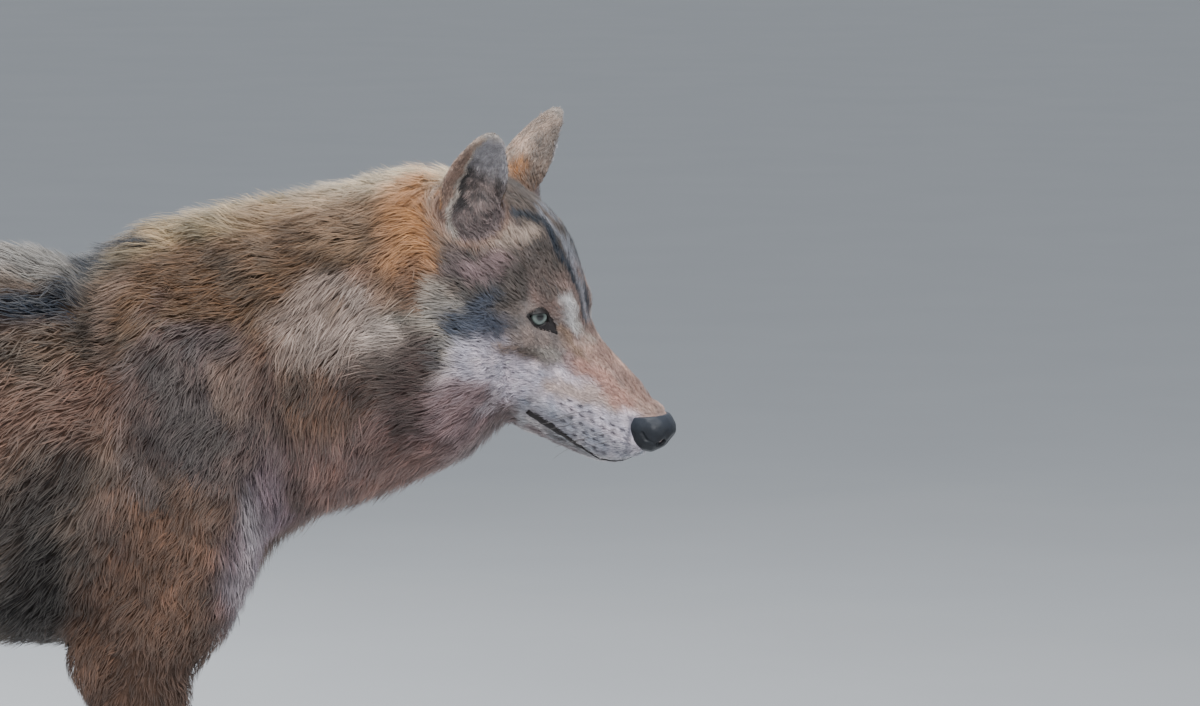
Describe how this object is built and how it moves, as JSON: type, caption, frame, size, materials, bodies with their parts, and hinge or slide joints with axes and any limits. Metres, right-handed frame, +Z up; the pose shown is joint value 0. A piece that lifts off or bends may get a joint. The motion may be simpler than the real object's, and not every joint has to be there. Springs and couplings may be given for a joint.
{
  "type": "grey wolf figure",
  "caption": "Life-size still figure of a grey wolf in winter coat, standing with its head turned a little to its right and its muzzle lowered.",
  "frame": {"origin": "on the floor, below the middle of the whole figure's box", "axes": "+X towards the muzzle along the body, +Y to the animal's left, +Z up"},
  "size_m": [1.3081, 0.2976, 0.8922],
  "materials": {
    "winter_coat": "dense winter fur, guard hairs over wool, grey-brown with cream, rufous and black",
    "nose_leather": "bare damp skin, slate black",
    "eye_glass": "polished, pale grey-green iris",
    "claw_horn": "dull dark horn",
    "lip_skin": "bare black skin of the lips and eyelid rims",
    "whisker_bristle": "stiff dark whiskers"
  },
  "bodies": {
    "root": {"trunk": "winter_coat", "neck": "winter_coat", "head": "winter_coat", "lower_jaw": "winter_coat", "tail": "winter_coat", "ear_left": "winter_coat", "ear_right": "winter_coat", "foreleg_left": "winter_coat", "foreleg_right": "winter_coat", "forepaw_left": "winter_coat", "forepaw_right": "winter_coat", "hindleg_left": "winter_coat", "hindleg_right": "winter_coat", "hindpaw_left": "winter_coat", "hindpaw_right": "winter_coat", "nose_pad": "nose_leather", "eye_left": "eye_glass", "eye_right": "eye_glass"}
  },
  "joints": []
}
